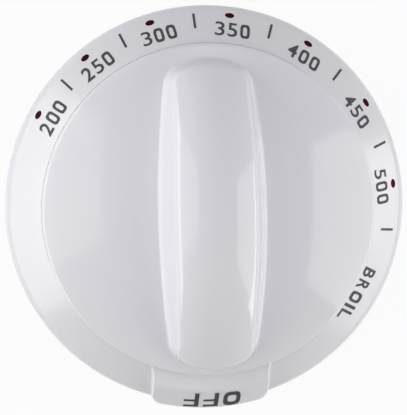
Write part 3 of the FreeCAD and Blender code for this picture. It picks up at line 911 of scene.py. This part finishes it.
@dataclass
class RearMetalwork:
    """Clamp plate, its screws and the spring clip in the shaft socket."""

    finishes: tuple[tuple[str, PlatedSteel], ...] = (
        ("clamp_plate", ZINC_PLATE),
        ("clamp_screws", SCREW_STEEL),
        ("shaft_clip", SPRING_STEEL),
    )

    def build(self) -> list[bpy.types.Object]:
        """Dresses the metal nodes of the CAD model.

        Returns:
            The dressed nodes.
        """
        pieces = []
        for node, finish in self.finishes:
            piece = frame["nodes"][node]
            dress(piece, finish.material())
            pieces.append(piece)
        return pieces


@dataclass
class Viewpoint:
    """Camera in front of the knob, a little above and to the left of its axis; millimetres and pixels.

    Attributes:
        lean_left: slope of the line of sight to the left of the axis.
        lean_up: slope of the line of sight above the axis, away from the off tab.
        roll: turn of the picture in degrees.
        pixel: width of a pixel at the level that the camera aims at.
        offset: how far right and down the axis lies from the middle of the picture, in pixels.
    """

    lean_left: float = 0.0977
    lean_up: float = 0.1284
    roll: float = 1.12
    distance: float = 520.0
    frame_width: float = 407.0
    sensor_width: float = 36.0
    pixel: float = 0.1751
    aim_level: float = 1.0
    offset: tuple[float, float] = (1.70, -2.25)

    def place(self) -> None:
        """Adds the camera and makes it the scene's own."""
        back = Vector((-self.lean_left, self.lean_up, 1)).normalized()
        right = Vector((0, 1, 0)).cross(back).normalized()
        turned = Matrix((right, back.cross(right), back)).transposed()
        turned = turned @ Matrix.Rotation(-math.radians(self.roll), 3, "Z")
        data = bpy.data.cameras.new("viewpoint")
        data.sensor_fit = "HORIZONTAL"
        data.sensor_width = self.sensor_width
        data.lens = self.sensor_width * self.distance / (self.frame_width * self.pixel)
        data.shift_x = -self.offset[0] / self.frame_width
        data.shift_y = self.offset[1] / self.frame_width
        data.clip_start = 0.01
        data.clip_end = 20.0
        camera = bpy.data.objects.new("viewpoint", data)
        bpy.context.collection.objects.link(camera)
        eye = Vector((0, 0, self.aim_level)) + back * self.distance
        camera.matrix_world = Matrix.Translation(eye * MM) @ turned.to_4x4()
        bpy.context.scene.camera = camera


@dataclass(frozen=True)
class Softbox:
    """Diffused rectangular lamp that stands upright and faces across, along X; metres and watts.

    Attributes:
        spot: middle of the lamp.
        width: level side.
        height: upright side.
    """

    name: str
    spot: tuple[float, float, float]
    width: float
    height: float
    power: float

    def place(self) -> None:
        """Adds the lamp."""
        data = bpy.data.lights.new(self.name, "AREA")
        data.shape = "RECTANGLE"
        data.size = self.width
        data.size_y = self.height
        data.energy = self.power
        lamp = bpy.data.objects.new(self.name, data)
        bpy.context.collection.objects.link(lamp)
        lamp.location = self.spot
        lamp.rotation_euler = Vector((self.spot[0], 0, 0)).to_track_quat("Z", "Y").to_euler()


@dataclass
class Studio:
    """White sweep, soft lamps and room light.

    Attributes:
        ceiling_spread: power by which the room light falls away from its brightest direction.
        ceiling_lean: that direction.
        floor_drop: gap under the knob's rim, in millimetres.
        floor_shown: share of plain white in what the camera sees of the floor; the rest is lit paper.
    """

    softboxes: tuple[Softbox, ...] = (
        Softbox("left_softbox", (-0.5, 0.06, 0.69), 0.68, 0.70, 1.65),
        Softbox("left_strip", (-0.5, -0.015, 0.18), 0.83, 0.32, 2.6),
        Softbox("right_softbox", (0.5, -0.14, 0.45), 0.6, 0.50, 1.7),
        Softbox("right_strip", (0.5, -0.2, 0.11), 0.6, 0.18, 1.5),
    )
    room_colour: str = "#C9CBD0"
    ceiling_level: float = 1.7
    ceiling_spread: float = 4.0
    ceiling_lean: tuple[float, float, float] = (0.0, 0.38, 0.925)
    floor_size: float = 4.0
    floor_drop: float = 0.02
    floor_colour: str = "#F2F2F2"
    floor_shown: float = 0.9
    shown_colour: str = "#FFFFFF"

    @staticmethod
    def shown_white(tree: bpy.types.NodeTree) -> bpy.types.NodeSocket:
        """Tells apart the rays that show the backdrop to the camera, straight or by a mirror or glass.

        Args:
            tree: node tree that needs to know.

        Returns:
            Socket that gives one for such a ray and zero for any other.
        """
        path = add_node(tree, "ShaderNodeLightPath")
        mirrored = add_node(tree, "ShaderNodeMath", {"operation": "MAXIMUM"}, {
            0: path.outputs["Is Glossy Ray"], 1: path.outputs["Is Transmission Ray"],
        })
        shown = add_node(tree, "ShaderNodeMath", {"operation": "MAXIMUM"}, {
            0: path.outputs["Is Camera Ray"], 1: mirrored.outputs[0],
        })
        return shown.outputs[0]

    def floor(self) -> None:
        """Lays the floor that the knob's rim stands on."""
        deselect_all()
        bpy.ops.mesh.primitive_plane_add(size=self.floor_size)
        floor = bpy.context.active_object
        floor.name = "studio_floor"
        floor.location.z = -self.floor_drop * MM
        material, tree = new_material("matt_white_sweep")
        paper = add_node(tree, "ShaderNodeBsdfDiffuse", {"Color": linear(self.floor_colour)})
        glow = add_node(tree, "ShaderNodeEmission", {"Color": linear(self.shown_colour), "Strength": 1.0})
        seen = add_node(tree, "ShaderNodeMath", {"operation": "MULTIPLY", 1: self.floor_shown},
                        {0: self.shown_white(tree)})
        sweep = add_node(tree, "ShaderNodeMixShader", None, {
            0: seen.outputs[0], 1: paper.outputs[0], 2: glow.outputs[0],
        })
        add_node(tree, "ShaderNodeOutputMaterial", None, {"Surface": sweep.outputs[0]})
        floor.data.materials.append(material)

    def room(self) -> None:
        """Fills the room with soft light from beyond and above, and shows it white to the camera."""
        world = bpy.data.worlds.new("studio_room")
        world.use_nodes = True
        tree = world.node_tree
        tree.nodes.clear()
        place = add_node(tree, "ShaderNodeTexCoord").outputs["Generated"]
        height = add_node(tree, "ShaderNodeVectorMath", {
            "operation": "DOT_PRODUCT", 1: self.ceiling_lean,
        }, {0: place}).outputs["Value"]
        above = add_node(tree, "ShaderNodeMath", {"operation": "MAXIMUM", 1: 0.0}, {0: height})
        share = add_node(tree, "ShaderNodeMath", {
            "operation": "POWER", 1: self.ceiling_spread,
        }, {0: above.outputs[0]})
        level = add_node(tree, "ShaderNodeMath", {
            "operation": "MULTIPLY", 1: self.ceiling_level,
        }, {0: share.outputs[0]})
        fill = add_node(tree, "ShaderNodeBackground", {"Color": linear(self.room_colour)}, {
            "Strength": level.outputs[0],
        })
        white = add_node(tree, "ShaderNodeBackground", {"Color": linear(self.shown_colour), "Strength": 1.0})
        mixed = add_node(tree, "ShaderNodeMixShader", None, {
            0: self.shown_white(tree), 1: fill.outputs[0], 2: white.outputs[0],
        })
        add_node(tree, "ShaderNodeOutputWorld", None, {"Surface": mixed.outputs[0]})
        bpy.context.scene.world = world

    def build(self) -> None:
        """Sets the floor, the lamps and the view transform."""
        self.floor()
        for softbox in self.softboxes:
            softbox.place()
        self.room()
        bpy.context.scene.view_settings.view_transform = "Standard"


def main() -> None:
    """Builds the sub-assemblies, the studio and the camera."""
    logging.basicConfig(level=logging.INFO, format="%(name)s: %(message)s")
    for piece in [GripMoulding().build(), *DialSkirt().build(), *RearMetalwork().build()]:
        LOG.info("%s has %d faces", piece.name, len(piece.data.polygons))
    Studio().build()
    Viewpoint().place()


if __name__ == "__main__":
    main()
